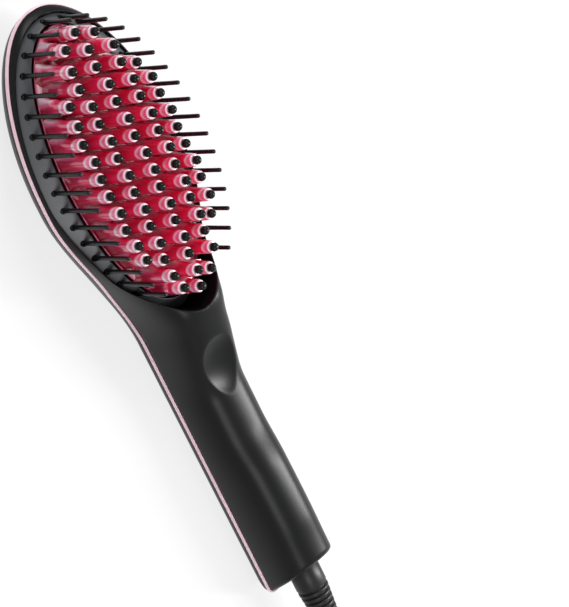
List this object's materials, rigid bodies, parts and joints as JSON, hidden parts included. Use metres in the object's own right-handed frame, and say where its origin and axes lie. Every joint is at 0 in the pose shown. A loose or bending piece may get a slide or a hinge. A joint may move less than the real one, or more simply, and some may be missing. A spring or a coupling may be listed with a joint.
{
  "type": "heated hair straightening brush",
  "caption": "Paddle hair brush with heated teeth in an oval field, a ring of bristles, a display with temperature keys and power key on the back of the handle, and a coiled mains cord.",
  "frame": {"origin": "on the table under the middle of the two shells, which lie on their back", "axes": "+Z the way the teeth point, +Y from the cord end to the tip of the head, +X to the right of someone looking along +Y"},
  "size_m": [0.1097, 0.4685, 0.0592],
  "materials": {
    "soft_black": "soft-touch matte",
    "trim_pink": "glossy",
    "panel_metal": "brushed",
    "key_rubber": "matte",
    "frame_black": "satin",
    "bristle_nylon": "satin",
    "plate_crimson": "glossy ceramic coat on die-cast aluminium",
    "tip_black": "glossy",
    "heater_ceramic": "matte",
    "mica": "satin",
    "steel": "plain",
    "fuse_metal": "plain",
    "lens_clear": "clear, glossy",
    "display_blue": "glossy",
    "board_green": "solder mask",
    "switch_black": "moulded",
    "cord_rubber": "satin",
    "tie_fabric": "woven",
    "plug_rubber": "satin",
    "pin_brass": "plated"
  },
  "bodies": {
    "housing": {"front_shell": "soft_black", "back_shell": "soft_black", "seam_trim": "trim_pink", "control_panel": "panel_metal", "bristle_frame": "frame_black", "bristles": "bristle_nylon", "heat_plate": "plate_crimson", "tooth_tips": "tip_black", "clamp_screws": "steel", "heater_left": "heater_ceramic", "heater_right": "heater_ceramic", "mica_sheet": "mica", "heater_clamp": "steel", "thermistor": "heater_ceramic", "thermal_fuse": "fuse_metal", "display_lens": "lens_clear", "display_module": "display_blue", "circuit_board": "board_green", "plus_switch": "switch_black", "minus_switch": "switch_black", "power_switch": "switch_black", "board_screws": "steel", "strain_relief": "cord_rubber", "cord": "cord_rubber", "cord_coil": "cord_rubber", "coil_tie": "tie_fabric", "plug": "plug_rubber", "plug_pins": "pin_brass"},
    "plus_key": {"plus_button": "key_rubber"},
    "minus_key": {"minus_button": "key_rubber"},
    "power_key": {"power_button": "key_rubber"}
  },
  "joints": [
    {"name": "plus_press", "type": "slide", "parent": "housing", "child": "plus_key", "axis": [0, 0, 1], "range_m": [0, 0.0006], "stiffness_N_per_m": 1500},
    {"name": "minus_press", "type": "slide", "parent": "housing", "child": "minus_key", "axis": [0, 0, 1], "range_m": [0, 0.0006], "stiffness_N_per_m": 1500},
    {"name": "power_press", "type": "slide", "parent": "housing", "child": "power_key", "axis": [0, 0, 1], "range_m": [0, 0.0006], "stiffness_N_per_m": 1500}
  ]
}
